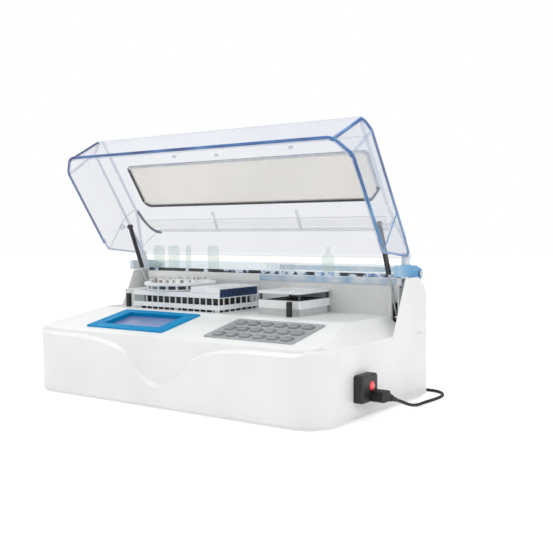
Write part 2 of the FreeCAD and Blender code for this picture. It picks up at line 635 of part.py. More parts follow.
def power_inlet():
    y0, y1, z0, z1 = INLET_BOX
    face_x = HALF_WIDTH + INLET_PROUD
    outer = block(HALF_WIDTH, face_x, y0, y1, z0, z1)
    outer = outer.makeFillet(7, [e for e in outer.Edges if e.Length > 19.9 and e.Length < 20.1])
    rim = [e for e in outer.Edges if e.BoundBox.XMin > face_x - 0.01]
    outer = outer.makeFillet(4, rim)
    back = block(HALF_WIDTH - 26, HALF_WIDTH, y0 + 5.3, y1 - 5.3, z0 + 5.3, z1 - 5.3)
    well = rod(V(face_x - 8, BUTTON_Y, BUTTON_Z), X_AXIS, BUTTON_R + 0.5, 20)
    socket = rounded_x(-70, -44, 42, 58, 3, face_x - 14, face_x + 5)
    return joined([outer, back]).cut([well, socket])


def rounded_x(y0, y1, z0, z1, r, x0, x1):
    """A block along X with round corners in the YZ plane."""
    plate = rounded_plate(y0, y1, z0, z1, r, 0, x1 - x0)
    plate.rotate(V(0, 0, 0), V(1, 1, 1), 120)
    plate.translate(V(x0, 0, 0))
    return plate


def power_button():
    face_x = HALF_WIDTH + INLET_PROUD
    stem = rod(V(face_x - 5, BUTTON_Y, BUTTON_Z), X_AXIS, BUTTON_R, 5.5)
    crown = Part.makeCone(BUTTON_R, BUTTON_R - 3.5, 2.2, V(face_x + 0.5, BUTTON_Y, BUTTON_Z), X_AXIS)
    return joined([stem, crown])


def inlet_connector():
    """An angled plug in the inlet, and the ribbed boot that the lead comes out of."""
    face_x = HALF_WIDTH + INLET_PROUD
    nose = rounded_x(-69.6, -44.4, 42.4, 57.6, 3, face_x - 12, face_x + 1)
    body = rounded_x(-72, -40, 38, 60, 6, face_x + 0.4, face_x + 26)
    d = (BOOT_END - BOOT_START).normalize()
    parts = [nose, body]
    length = (BOOT_END - BOOT_START).Length
    parts.append(Part.makeCone(8.5, 4.3, length, BOOT_START, d))
    for i in range(5):
        at = BOOT_START + d * (3 + 5.5 * i)
        parts.append(rod(at, d, 9.4 - 0.55 * i, 3))
    return joined(parts)


# Mains lead

def tube_path(points):
    """Straight runs joined by tangent arcs, each arc as large as its two runs allow."""
    points = [V(*p) for p in points]
    edges = []
    last = points[0]
    radii = []
    for a, b, c in zip(points, points[1:], points[2:]):
        u, w = (b - a), (c - b)
        run = min(u.Length, w.Length)
        u.normalize()
        w.normalize()
        half = u.getAngle(w) / 2
        reach = 0.45 * run
        radii.append(reach / math.tan(half))
        start, end = b - u * reach, b + w * reach
        chord = (start + end) * 0.5
        cos_half = math.cos(half)
        middle = chord + (b - chord) * (cos_half / (1 + cos_half))
        edges += [Part.LineSegment(last, start).toShape(), Part.Arc(start, middle, end).toShape()]
        last = end
    edges.append(Part.LineSegment(last, points[-1]).toShape())
    print("cord radii", [round(r) for r in radii])
    return Part.Wire(edges)


def sweep(path, radius):
    start = path.OrderedVertexes[0].Point
    direction = path.OrderedEdges[0].tangentAt(path.OrderedEdges[0].FirstParameter)
    ring = Part.Wire(Part.makeCircle(radius, start, direction))
    pipe = path.makePipeShell([ring], True, False)
    print("tube volume / section x length: %.4f" % (pipe.Volume / (math.pi * radius ** 2 * path.Length)))
    return pipe


def smooth(t):
    t = max(0.0, min(1.0, t))
    return t * t * (3 - 2 * t)


def coil_point(turn):
    """A point of the coil: it spirals in on the table and out again one layer higher."""
    rate = (COIL_R_OUT - COIL_R_IN) / COIL_TURNS_IN
    r = COIL_R_IN + rate * abs(turn - COIL_TURNS_IN)
    z = CORD_Z + LAYER_RISE * smooth(2 * (turn - COIL_TURNS_IN) + 0.5)
    angle = -math.pi / 2 - 2 * math.pi * turn
    coil_y = ROUTE[-1][1] + COIL_R_OUT
    return V(COIL_X + r * math.cos(angle), coil_y + r * math.sin(angle), z)


def biarc(p0, t0, p1, t1):
    """Two arcs from p0 to p1 that leave along t0 and arrive along t1."""
    v = p1 - p0
    vt = v.dot(t0 + t1)
    turn = 2 * (1 - t0.dot(t1))
    d = (-vt + math.sqrt(vt * vt + turn * v.dot(v))) / turn
    q0, q1 = p0 + t0 * d, p1 - t1 * d
    mid = (q0 + q1) * 0.5
    edges = []
    for a, apex, b in ((p0, q0, mid), (mid, q1, p1)):
        chord = (a + b) * 0.5
        cos_half = (b - a).Length / 2 / d
        edges.append(Part.Arc(a, chord + (apex - chord) * (cos_half / (1 + cos_half)), b).toShape())
    return edges


def coil_path():
    total = COIL_TURNS_IN + COIL_TURNS_OUT
    steps = int(math.ceil(total * 4))
    step = 0.001
    points, tangents = [], []
    for i in range(steps + 1):
        turn = total * i / steps
        points.append(coil_point(turn))
        tangents.append((coil_point(turn + step) - coil_point(turn - step)).normalize())
    tangents[0] = V(-1, 0, 0)
    tangents[-1] = V(tangents[-1].x, tangents[-1].y, 0).normalize()
    start = V(*ROUTE[-1])
    edges = [Part.LineSegment(start, points[0]).toShape()]
    for i in range(steps):
        edges += biarc(points[i], tangents[i], points[i + 1], tangents[i + 1])
    end = points[-1] + tangents[-1] * (2 * CORD_R)
    edges.append(Part.LineSegment(points[-1], end).toShape())
    print("coil least self-gap %.2f" % self_gap(total))
    return Part.Wire(edges), end, tangents[-1]


def self_gap(total):
    """The least gap between stretches of the coil that lie at least half a turn apart."""
    samples = 90
    points = [coil_point(i / samples) for i in range(int(total * samples) + 1)]
    least = 1e9
    for i, p in enumerate(points):
        for q in points[i + samples // 2:]:
            least = min(least, (p - q).Length)
    return least - 2 * CORD_R


def mains_plug(at, direction):
    """A moulded two-pin plug with a tapered relief, lying flat beside the coil."""
    relief = Part.makeCone(4.6, 6.5, 24, at, direction)
    yaw = math.degrees(math.atan2(direction.y, direction.x))
    body = rounded_plate(0, 38, -17, 17, 8, -CORD_Z - LAYER_RISE, 10)
    taper = [(0, -17.5), (0, -8), (22, -17.5)]
    body = body.cut([prism_z(taper, -20, 20), prism_z([(x, -y) for x, y in taper], -20, 20)])
    pins = []
    for y in (-9.5, 9.5):
        pins.append(rod(V(38, y, 0), X_AXIS, 2.4, 19))
    plug = joined([body] + pins)
    plug.rotate(V(0, 0, 0), Z_AXIS, yaw)
    plug.translate(at + direction * 22)
    return joined([relief, plug])


# Work area

CAROUSEL_X, CAROUSEL_Y, CAROUSEL_R = -174.0, 49.0, 88.0
SPINDLE_R = 6.0
STEP_TOP = 226.0
RACK = (-262.0, 10.5, -25.0, 125.0)
RACK_PLATE_Z = (219.0, 231.0)
TOWER = (87.0, 202.0, 22.0, 147.5)
TANK = (-75.0, -21.0, 121.0)


def rack_base():
    """A frame of upright bars with a rail round it, open above and below the rail, closed at one end."""
    x0, x1, y0, y1 = RACK
    floor, top = FLOOR_Z - 1.5, RACK_PLATE_Z[0]
    rail = block(x0, x1, y0, y1, 192.5, 203.2).cut(block(x0 + 9, x1 - 9, y0 + 9, y1 - 9, 190, 210))
    parts = [rail, block(x0 + 1, x1 - 1, y0 + 1, y1 - 1, floor, 186.5),
             block(x0 + 16, x1 - 16, y0 + 16, y1 - 16, 186, top),
             block(x0 + 1, -227, y0 + 1, y1 - 1, 203, top)]
    for x in (x0 + 12, (x0 + x1) / 2, x1 - 12):
        parts.append(block(x - 6, x + 6, y0 + 5, y1 - 5, floor, 200))
    count = 14
    for i in range(count + 1):
        x = x0 + 3 + (x1 - x0 - 6) * i / count
        for y in (y0 + 2, y1 - 5):
            parts.append(block(x - 0.9, x + 0.9, y, y + 3, floor, top))
    for i in range(1, 7):
        y = y0 + (y1 - y0) * i / 7
        for x in (x0 + 2, x1 - 5):
            parts.append(block(x, x + 3, y - 0.9, y + 0.9, floor, top))
    rack = joined(parts)
    return rack.cut(rod(V(CAROUSEL_X, CAROUSEL_Y, 100), Z_AXIS, SPINDLE_R + 4, 200))


def rack_plate():
    """A thick slab on the rack, with a pocket for the reagent box that is open to the right."""
    x0, x1, y0, y1 = RACK
    plate = block(x0, x1, y0, y1, *RACK_PLATE_Z)
    pocket = block(TANK[0], x1 + 10, TANK[1], TANK[2], RACK_PLATE_Z[0] + 2, 250)
    return plate.cut([pocket, rod(V(CAROUSEL_X, CAROUSEL_Y, 100), Z_AXIS, SPINDLE_R + 4, 200)])


def sample_carousel():
    """Two discs on a spindle with posts between them, and a ring of capped sample tubes on the upper one."""
    base_z, disc_z, tube_z = RACK_PLATE_Z[1] + 1, 243.5, 257.0
    at = V(CAROUSEL_X, CAROUSEL_Y, 0)
    parts = [rod(at + V(0, 0, base_z), Z_AXIS, CAROUSEL_R - 6, 2.5),
             rod(at + V(0, 0, disc_z), Z_AXIS, CAROUSEL_R, 6.5),
             rod(at + V(0, 0, base_z), Z_AXIS, 58, disc_z + 1 - base_z),
             rod(at + V(0, 0, 168), Z_AXIS, SPINDLE_R, 70),
             rod(at + V(0, 0, disc_z + 5), Z_AXIS, 11, 7)]
    posts, tubes = 20, 24
    for i in range(posts):
        angle = 2 * math.pi * i / posts
        r = CAROUSEL_R - 10
        place = at + V(r * math.cos(angle), r * math.sin(angle), base_z + 1)
        parts.append(rod(place, Z_AXIS, 3.2, disc_z - base_z))
    dimples = []
    for i in range(tubes):
        angle = 2 * math.pi * i / tubes
        place = at + V(70 * math.cos(angle), 70 * math.sin(angle), disc_z + 5)
        parts.append(rod(place, Z_AXIS, 4.2, tube_z - disc_z - 5))
        dimples.append(rod(place + V(0, 0, 6.5), Z_AXIS, 2.6, 20))
    return joined(parts).cut(dimples)


def reagent_box():
    """A dark tank sunk in the plate, with upright grooves along its right side."""
    x1 = RACK[1]
    tank = block(TANK[0] + 0.3, x1, TANK[1] + 0.3, TANK[2] - 0.3, RACK_PLATE_Z[0] + 2.3, 240)
    grooves = [block(x1 - 2, x1 + 5, -15 + 9.4 * i, -11.5 + 9.4 * i, 224, 237.5) for i in range(14)]
    return tank.cut(grooves)


def reagent_lid():
    """A flat lid with a flap down its front and a grid of sealed ports."""
    top = block(TANK[0], RACK[1] + 0.5, RACK[2], TANK[2], 240.3, 244.5)
    flap = block(TANK[0], RACK[1] + 0.5, RACK[2], TANK[1], RACK_PLATE_Z[1] + 0.3, 240.3)
    ports = [rod(V(-58 + 26 * (i % 3), 0 + 31 * (i // 3), 243.2), Z_AXIS, 6.5, 20) for i in range(12)]
    return joined([top, flap]).cut(ports)


def reaction_block():
    """A heated block on a plinth, with a shallow well, and four columns that hold the cover plate."""
    x0, x1, y0, y1 = TOWER
    plinth = block(x0 + 2, x1, y0, y1 - 13, FLOOR_Z - 1.5, 201)
    thick = rounded_plate(x0, x1, y0, y1, 3, 200.5, 218)
    well = rounded_plate(x0 + 8, x1 - 8, y0 + 8, y1 - 8, 6, 212, 230)
    parts = [joined([plinth, thick]).cut(well)]
    for x in (x0 + 5, x1 - 5):
        for y in (y0 + 5, y1 - 5):
            parts.append(rod(V(x, y, 217), Z_AXIS, 3.2, 233 - 217))
    for i in range(8):
        parts.append(block(x0 + 17 + 10.6 * i, x0 + 23 + 10.6 * i, y0 + 16, y1 - 16, 211, 216.5))
    return joined(parts)


def reaction_plate():
    x0, x1, y0, y1 = TOWER
    return rounded_plate(x0, x1, y0, y1, 3, 233, 239)


def rack_posts():
    floor = FLOOR_Z - 1.5
    return Part.makeCompound([block(x - 4.8, x + 4.8, 2, 12, floor, 218) for x in (-312, 184)])


def bottle_tray():
    """A clear channel with partitions on the rear top, open above, its back wall curling over."""
    x1 = 383.0
    y0, y1, z0, z1, r = 153.0, 208.0, 269.5, 296.0, 16.0

    def section(t, open_top):
        top = z1 + (20 if open_top else 0)
        half = (r - t) * math.sqrt(0.5)
        if open_top:
            return [V(0, y0 + t, z0 + t), V(0, y0 + t, top), V(0, y1 - r - 3, top), V(0, y1 - r - 3, z1 - t),
                    V(0, y1 - r, z1 - t), V(0, y1 - t, z1 - r), V(0, y1 - t, z0 + t)], half
        return [V(0, y0, z0), V(0, y0, z1), V(0, y1 - r, z1), V(0, y1, z1 - r), V(0, y1, z0)], half

    outer, half = section(0, False)
    edges = [Part.makeLine(outer[0], outer[1]), Part.makeLine(outer[1], outer[2]),
             arc(outer[2], V(0, y1 - r + half, z1 - r + half), outer[3]),
             Part.makeLine(outer[3], outer[4]), Part.makeLine(outer[4], outer[0])]
    body = yz_solid(edges, -x1, x1)
    t = 3.0
    inner, half = section(t, True)
    edges = [Part.makeLine(inner[i], inner[i + 1]) for i in range(4)]
    edges += [arc(inner[4], V(0, y1 - r + half, z1 - r + half), inner[5]),
              Part.makeLine(inner[5], inner[6]), Part.makeLine(inner[6], inner[0])]
    hollow = yz_solid(edges, -x1 + t, x1 - t)
    parts = [body.cut(hollow)]
    for x in (17, 45, 73):
        parts.append(block(x - 1, x + 1, y0 + 1, 190, z0 + 1, z1 - 2))
    arc_y, arc_z = REAR_Y - CHEEK_BACK_R, CHEEK_TOP - CHEEK_BACK_R
    for x in (-300, 0, 300):
        rib = block(x - 4, x + 4, 156, 204, 240, z0)
        rib = rib.cut(rod(V(x - 10, arc_y, arc_z), X_AXIS, CHEEK_BACK_R - 2, 20))
        parts.append(rib.cut(block(x - 10, x + 10, 140, arc_y, 200, REAR_TOP)))
    return joined(parts)


def reagent_bottles():
    """Straight jars with flat lids, and one bottle with a slim neck."""
    bottles = []
    for x, r in ((-363, 15.2), (-309, 15.2), (-257, 7), (-171, 15.2)):
        base = V(x, 173.2, 272.6)
        bottles.append(joined([rod(base, Z_AXIS, r, 57), rod(base + V(0, 0, 57), Z_AXIS, r - 0.8, 5.4)]))
    base = V(180, 173.2, 272.6)
    glass = rod(base, Z_AXIS, 14.8, 40)
    shoulder = Part.makeCone(14.8, 5, 8, base + V(0, 0, 40), Z_AXIS)
    neck = rod(base + V(0, 0, 48), Z_AXIS, 5, 14.4)
    bottles.append(joined([glass, shoulder, neck]))
    return Part.makeCompound(bottles)


# Small pieces and the inside

def feet():
    pieces = []
    for x in (-345, 345):
        for y in (-165, 175):
            pieces.append(Part.makeCone(16, 20, BODY_BOTTOM, V(x, y, 0), Z_AXIS))
    return Part.makeCompound(pieces)


def screws():
    pieces = []
    rear = REAR_Y - 2
    for x in (-385, -130, 130, 385):
        for z in (22, 190):
            pieces.append(Part.makeCone(4, 2.6, 2.2, V(x, rear, z), Y_AXIS))
    return Part.makeCompound(pieces)


def power_supply():
    bottom = BODY_BOTTOM + 3
    case = block(262, 378, -20, 120, bottom, 66)
    fins = [block(270 + 12 * i, 276 + 12 * i, -10, 110, 60, 70) for i in range(9)]
    return case.cut(fins)


def main_board():
    bottom = BODY_BOTTOM + 3
    board = block(-150, 100, -150, -75, bottom + 8, bottom + 10)
    parts = [board]
    for x in (-142, 92):
        for y in (-142, -83):
            parts.append(rod(V(x, y, bottom), Z_AXIS, 3, 8.5))
    chips = ((-120, -130, 30, 30, 3), (-60, -128, 24, 24, 6), (0, -135, 14, 40, 12), (40, -132, 36, 16, 8))
    for x, y, w, d, h in chips:
        parts.append(block(x, x + w, y, y + d, bottom + 9, bottom + 10 + h))
    return joined(parts)


def build():
    save("base_plate", base_plate())
    save("front_cover", front_cover())
    panel = side_panel()
    save("left_side_panel", mirrored(panel))
    save("right_side_panel", right_side_panel(panel))
    save("rear_cover", rear_cover())
    save("deck_console", deck_console())
    save("work_tub", work_tub())
    save("display_bezel", display_bezel())
    save("display_screen", display_screen())
    save("keypad_plate", keypad_plate())
    for number, (x, y) in enumerate(key_places(), 1):
        save("key_%02d" % number, key_cap(x, y))
    save("power_inlet", power_inlet())
    save("power_button", power_button())
    save("inlet_connector", inlet_connector())
    save("mains_cord", sweep(tube_path(ROUTE), CORD_R))
    path, end, direction = coil_path()
    save("cord_coil", sweep(path, CORD_R))
    save("mains_plug", mains_plug(end, direction))
    save("hood_shell", hood_shell())
    save("hood_window", hood_window())
    save("window_gasket", window_gasket())
    for name, maker in (("hood_arms", hood_arm), ("hinge_brackets", hinge_bracket), ("hinge_pins", hinge_pin),
                        ("strut_brackets", strut_bracket), ("strut_studs", strut_stud)):
        piece = maker()
        save(name, Part.makeCompound([piece, mirrored(piece)]))
    for name, maker in (("strut_cylinder", strut_cylinder), ("strut_rod", strut_rod)):
        piece = maker()
        save(name + "_right", piece)
        save(name + "_left", mirrored(piece))
    save("feet", feet())
    save("screws", screws())
    save("rack_base", rack_base())
    save("rack_plate", rack_plate())
    save("sample_carousel", sample_carousel())
    save("reagent_box", reagent_box())
    save("reagent_lid", reagent_lid())
    save("reaction_block", reaction_block())
    save("reaction_plate", reaction_plate())
    save("bottle_tray", bottle_tray())
    save("reagent_bottles", reagent_bottles())
    save("rack_posts", rack_posts())
    save("power_supply", power_supply())
    save("main_board", main_board())


build()
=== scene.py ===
import math

import bmesh
import bpy
from mathutils import Matrix, Vector


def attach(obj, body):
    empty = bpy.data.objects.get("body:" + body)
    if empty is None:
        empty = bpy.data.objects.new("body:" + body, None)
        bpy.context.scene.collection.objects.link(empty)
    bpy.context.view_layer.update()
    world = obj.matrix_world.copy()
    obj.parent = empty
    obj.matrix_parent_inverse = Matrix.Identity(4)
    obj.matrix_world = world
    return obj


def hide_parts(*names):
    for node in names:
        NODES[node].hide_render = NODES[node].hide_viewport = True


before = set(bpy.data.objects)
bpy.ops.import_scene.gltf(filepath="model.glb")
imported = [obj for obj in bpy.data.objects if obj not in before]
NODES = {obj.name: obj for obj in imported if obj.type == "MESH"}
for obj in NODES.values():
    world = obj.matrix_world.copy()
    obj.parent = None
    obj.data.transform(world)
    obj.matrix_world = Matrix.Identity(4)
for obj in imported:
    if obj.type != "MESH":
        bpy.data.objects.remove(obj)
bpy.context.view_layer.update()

MM = 0.001
SHIFT = Vector((-0.010, 0, 0))
PLACE = Matrix.Translation(SHIFT) @ Matrix.Scale(MM, 4)

# Camera at the photograph's place: its place in metres, its angles in degrees, its lens in millimetres
CAMERA_AT = (1.2386, -1.5129, 0.3807)
CAMERA_YAW, CAMERA_PITCH, CAMERA_ROLL = 35.85467, 3.29154, -0.46011
SENSOR = 36
CAMERA_LENS = 848.779 / 553 * SENSOR

# Hood, measured closed, in millimetres, and turned open about its hinge by an angle in degrees
HINGE = (203.0, 276.0)
HOOD_ANGLE = 56.7
HOOD_TOP = 277.0
HOOD_FRONT_Y = -204.0
CREASE_Y = 25.0
HOOD_OUTLINE = [(HOOD_FRONT_Y, 156), (-190, HOOD_TOP), (CREASE_Y, HOOD_TOP), (147, 258), (144, 254),
                (64, 156)]
REAR_FALL = 19.0 / 122.0
HOOD_X = 406.5
HOOD_WALL = 4.0
FOLD_R = 7.0

# Slanted cuts of the hood: x and z where they start at each shoulder, x and y at each front corner
SHOULDER = (376.0, 259.0)
CORNER = (375.0, -165.0)

# The window's opening as x and y limits, and the materials of the skin in their order on the mesh
WINDOW = (-333.0, 368.0, -112.0, 8.0)
SKIN_KEYS = ("clear", "fold", "edge")

# Mains lead, in millimetres, before the shift to the middle of the whole
LEAD_Z = 3.7
LEAD_R = 3.5
ROUTE = [(446, 7, 31), (446.5, 33, 22.3), (447.5, 62, 11), (449, 94, 4.6), (447, 128, LEAD_Z),
         (450, 164, LEAD_Z), (452, 200, LEAD_Z), (447, 231, LEAD_Z), (431, 256, LEAD_Z),
         (405, 268, LEAD_Z), (376, 265, LEAD_Z), (349, 254, LEAD_Z), (323, 246, LEAD_Z),
         (297, 246, LEAD_Z)]
COIL_X, COIL_R_OUT, COIL_R_IN = 290.0, 46.0, 30.2
COIL_TURNS_IN, COIL_TURNS_OUT = 2.1, 2.15
LAYER_RISE = 7.5

# White to the camera: the floor's own glow, and the sky's strength as a light
FLOOR_GLOW = 0.48
SKY_LIGHT = 0.62


# Materials

def linear(code):
    """An sRGB hex colour as linear values."""
    out = []
    for i in (1, 3, 5):
        v = int(code[i:i + 2], 16) / 255
        out.append(v / 12.92 if v <= 0.04045 else ((v + 0.055) / 1.055) ** 2.4)
    return (*out, 1.0)


class Mat:
    """A node material with short calls for common nodes; coordinates are the object's, in metres."""

    def __init__(self, name, rough=0.4, metal=0.0, alpha=1.0, spec=0.5, coat=0.0):
        self.m = bpy.data.materials.new(name)
        self.m.use_nodes = True
        self.nt = self.m.node_tree
        self.bsdf = self.nt.nodes["Principled BSDF"]
        self.set("Roughness", rough)
        self.set("Metallic", metal)
        self.set("Alpha", alpha)
        self.set("Specular IOR Level", spec)
        self.set("Coat Weight", coat)
        self.coord = self.nt.nodes.new("ShaderNodeTexCoord").outputs["Object"]

    def set(self, socket, value):
        self.bsdf.inputs[socket].default_value = value

    def link(self, a, b):
        self.nt.links.new(a, b)

    def node(self, kind, **values):
        n = self.nt.nodes.new(kind)
        for key, value in values.items():
            setattr(n, key, value)
        return n

    def stretched(self, scale):
        """The coordinates, scaled apart along each axis."""
        n = self.node("ShaderNodeMapping")
        n.inputs["Scale"].default_value = scale
        self.link(self.coord, n.inputs["Vector"])
        return n.outputs["Vector"]

    def noise(self, scale, detail=3.0, vector=None):
        n = self.node("ShaderNodeTexNoise")
        n.inputs["Scale"].default_value = scale
        n.inputs["Detail"].default_value = detail
        self.link(vector or self.coord, n.inputs["Vector"])
        return n.outputs["Fac"]

    def math(self, kind, a, b=None):
        """Arithmetic on numbers and node outputs."""
        n = self.node("ShaderNodeMath", operation=kind)
        for i, v in enumerate((a, b)):
            if v is None:
                continue
            if isinstance(v, (int, float)):
                n.inputs[i].default_value = v
            else:
                self.link(v, n.inputs[i])
        return n.outputs[0]

    def axis(self, which):
        """The coordinate x, y or z, for 0, 1 or 2."""
        n = self.node("ShaderNodeSeparateXYZ")
        self.link(self.coord, n.inputs[0])
        return n.outputs[which]

    def ramp(self, fac, stops):
        """Colours at stops along a factor."""
        n = self.node("ShaderNodeValToRGB")
        ramp = n.color_ramp
        while len(ramp.elements) < len(stops):
            ramp.elements.new(0.5)
        for element, (at, code) in zip(ramp.elements, stops):
            element.position = at
            element.color = linear(code)
        self.link(fac, n.inputs["Fac"])
        return n.outputs["Color"]

    def spread(self, fac, low, high, start=0.3, end=0.7):
        """A factor from start to end as a value from low to high."""
        n = self.node("ShaderNodeMapRange")
        for key, value in (("From Min", start), ("From Max", end), ("To Min", low), ("To Max", high)):
            n.inputs[key].default_value = value
        self.link(fac, n.inputs["Value"])
        return n.outputs["Result"]

    def mix(self, fac, a, b):
        """Colour a where the factor is 0, b where it is 1."""
        n = self.node("ShaderNodeMix", data_type="RGBA")
        self.link(fac, n.inputs["Factor"])
        self.link(a, n.inputs[6])
        self.link(b, n.inputs[7])
        return n.outputs[2]

    def shade(self, scale, dark, light, start=0.3, end=0.7):
        """A colour that drifts between two tones, for mixing."""
        return self.ramp(self.noise(scale), [(start, dark), (end, light)])

    def over(self, which, limit):
        """1 where the coordinate is over the limit, else 0."""
        return self.math("GREATER_THAN", self.axis(which), limit)

    def under(self, which, limit):
        """1 where the coordinate is under the limit, else 0."""
        return self.math("LESS_THAN", self.axis(which), limit)

    def both(self, a, b):
        return self.math("MULTIPLY", a, b)

    def either(self, a, b):
        return self.math("MAXIMUM", a, b)

    def inset(self, x0, x1, y0, y1):
        """How far inside a box's four sides a point lies."""
        depths = []
        for which, low, high in ((0, x0, x1), (1, y0, y1)):
            off = self.math("ABSOLUTE", self.math("SUBTRACT", self.axis(which), (low + high) / 2))
            depths.append(self.math("SUBTRACT", (high - low) / 2, off))
        return self.math("MINIMUM", *depths)

    def color(self, value):
        self.link(value, self.bsdf.inputs["Base Color"])

    def tones(self, dark, light, scale, vector=None):
        """Base colour that drifts between two close tones."""
        out = self.ramp(self.noise(scale, 4, vector), [(0.3, dark), (0.7, light)])
        self.color(out)
        return out

    def roughness(self, low, high, scale, vector=None):
        """Roughness that drifts between two values."""
        self.link(self.spread(self.noise(scale, 3, vector), low, high), self.bsdf.inputs["Roughness"])

    def bump(self, height, strength, distance):
        """Fine relief on the surface."""
        n = self.node("ShaderNodeBump")
        n.inputs["Strength"].default_value = strength
        n.inputs["Distance"].default_value = distance
        self.link(height, n.inputs["Height"])
        self.link(n.outputs["Normal"], self.bsdf.inputs["Normal"])


def white_plastic():
    """The case's smooth white paint."""
    m = Mat("case_white", 0.32, coat=0.15)
    m.set("Coat Roughness", 0.12)
    m.tones("#E6E8E7", "#F0F1EF", 5)
    m.roughness(0.28, 0.4, 30)
    m.bump(m.noise(900, 2), 0.06, 0.0002)
    return m.m


def grey_plastic(name, dark, light, grain=1400, spec=0.5):
    """Fine grained matt plastic."""
    m = Mat(name, 0.5, spec=spec)
    m.tones(dark, light, 9)
    m.roughness(0.42, 0.58, 60)
    m.bump(m.noise(grain, 3), 0.18, 0.0002)
    return m.m


def gloss_plastic(name, dark, light):
    """Smooth plastic or enamel under a clear coat."""
    m = Mat(name, 0.22, coat=0.4)
    m.set("Coat Roughness", 0.06)
    m.tones(dark, light, 14)
    m.roughness(0.18, 0.3, 40)
    m.bump(m.noise(700, 2), 0.04, 0.0002)
    return m.m


def rubber(name, dark, light):
    """Dull rubber with a rough skin."""
    m = Mat(name, 0.62, spec=0.35)
    m.tones(dark, light, 60)
    m.roughness(0.52, 0.72, 200)
    m.bump(m.noise(2200, 4), 0.25, 0.0003)
    return m.m


def brushed(name, dark, light, scale=(4, 900, 900)):
    """Metal with fine lines along one axis."""
    m = Mat(name, 0.3, metal=1.0)
    lines = m.stretched(scale)
    m.tones(dark, light, 1.0, lines)
    m.roughness(0.2, 0.38, 1.0, lines)
    m.bump(m.noise(1.0, 2, lines), 0.12, 0.0002)
    return m.m


def clear(name, dark, light, alpha, rough=0.05, scale=6):
    """Tinted acrylic, more or less see-through."""
    m = Mat(name, rough, alpha=alpha, spec=0.6)
    m.tones(dark, light, scale)
    m.roughness(rough, rough + 0.06, 20)
    m.bump(m.noise(40, 2), 0.03, 0.001)
    return m.m


def edge_blue():
    """Light gathers in the thick edges of the acrylic, navy in places and sky blue in others."""
    m = Mat("hood_edge", 0.08, alpha=0.85, spec=0.6)
    fac = m.math("ADD", m.math("MULTIPLY", m.noise(9, 3), 0.8), m.math("MULTIPLY", m.axis(0), 0.12))
    m.color(m.ramp(fac, [(0.3, "#1F3F80"), (0.44, "#3C72B4"), (0.6, "#86B4DD")]))
    m.bump(m.noise(60, 2), 0.05, 0.001)
    return m.m


def screen():
    """A lit display: an even blue, lighter towards one corner and darker towards the other where the
    bezel's shadow is painted in, with a faint pixel grid.
    """
    m = Mat("screen", 0.25, spec=0.3)
    # Painted shade: the blue darkens towards the left rear corner, standing in for the bezel's shadow on
    # the screen.
    slope = m.math("ADD", m.math("MULTIPLY", m.axis(0), 3.2), m.math("MULTIPLY", m.axis(1), -4.5))
    tone = m.math("ADD", slope, m.math("MULTIPLY", m.noise(14), 0.25))
    color = m.ramp(m.spread(tone, 0, 1, -0.2, 1.0), [(0.0, "#62749F"), (1.0, "#90A2CD")])
    m.color(color)
    m.link(color, m.bsdf.inputs["Emission Color"])
    m.set("Emission Strength", 0.1)
    m.bump(m.noise(1500, 1), 0.02, 0.0001)
    return m.m


def red_lens():
    """The lit lens of the power button."""
    m = Mat("red_lens", 0.15, spec=0.6, coat=0.5)
    color = m.tones("#B5101A", "#E2303A", 70)
    m.link(color, m.bsdf.inputs["Emission Color"])
    m.set("Emission Strength", 1.1)
    m.bump(m.noise(500, 2), 0.08, 0.0003)
    return m.m


def rack():
    """Pale bars and rail round a core painted near black for the shade inside the rack, told apart by how
    near they are to the rack's outline.
    """
    m = Mat("rack", 0.45)
    bar_depth, end_x, end_z = 0.0055, -0.2365, 0.2034
    near = m.math("LESS_THAN", m.inset(-0.272, 0.0005, -0.025, 0.125), bar_depth)
    end = m.both(m.under(0, end_x), m.over(2, end_z))
    pale = m.shade(30, "#E2E5E8", "#EFF1F3")
    # Painted shade: the rack's inside is only shadowed, but its core is coloured near black here.
    dark = m.shade(30, "#16181B", "#26292D")
    grey = m.shade(30, "#8E9695", "#9BA2A1")
    m.color(m.mix(end, m.mix(near, dark, pale), grey))
    m.roughness(0.35, 0.5, 60)
    m.bump(m.noise(1200, 2), 0.08, 0.0002)
    return m.m


def carousel():
    """White discs, grey and pale tubes, and a dark hub, told apart by height and distance to the axle."""
    m = Mat("carousel", 0.35)
    axle_x, axle_y = -0.184, 0.049
    hub_r, hub_top, tube_r, disc_top = 0.0605, 0.2434, 0.0635, 0.2502
    x = m.math("SUBTRACT", m.axis(0), axle_x)
    y = m.math("SUBTRACT", m.axis(1), axle_y)
    r = m.math("SQRT", m.math("ADD", m.math("MULTIPLY", x, x), m.math("MULTIPLY", y, y)))
    hub = m.both(m.math("LESS_THAN", r, hub_r), m.under(2, hub_top))
    tubes = m.both(m.over(2, disc_top), m.math("GREATER_THAN", r, tube_r))
    pale = m.shade(20, "#E4E7E9", "#F0F2F3")
    grey = m.shade(50, "#4A5057", "#697078")
    glass = m.ramp(m.noise(70, 1, m.stretched((1, 1, 0.1))), [(0.42, "#8A8581"), (0.56, "#E6E7E6")])
    m.color(m.mix(tubes, m.mix(hub, pale, grey), glass))
    m.roughness(0.25, 0.4, 60)
    m.bump(m.noise(1000, 2), 0.06, 0.0002)
    return m.m


def heater():
    """White painted sides over a dark well, dark columns, and a light grey plinth."""
    m = Mat("heater", 0.45)
    wall, well_z, column_z, plinth_z = 0.0075, 0.211, 0.2183, 0.2004
    inside = m.math("GREATER_THAN", m.inset(0.077, 0.192, 0.022, 0.1475), wall)
    dark = m.either(m.both(inside, m.over(2, well_z)), m.over(2, column_z))
    pale = m.shade(40, "#E6E8EA", "#F1F2F3")
    grey = m.shade(40, "#B9BDBD", "#C6CACA")
    body = m.mix(m.under(2, plinth_z), pale, grey)
    black = m.shade(60, "#25282C", "#3A3E43")
    m.color(m.mix(dark, body, black))
    m.roughness(0.38, 0.52, 200)
    m.bump(m.noise(1600, 3), 0.12, 0.0002)
    return m.m


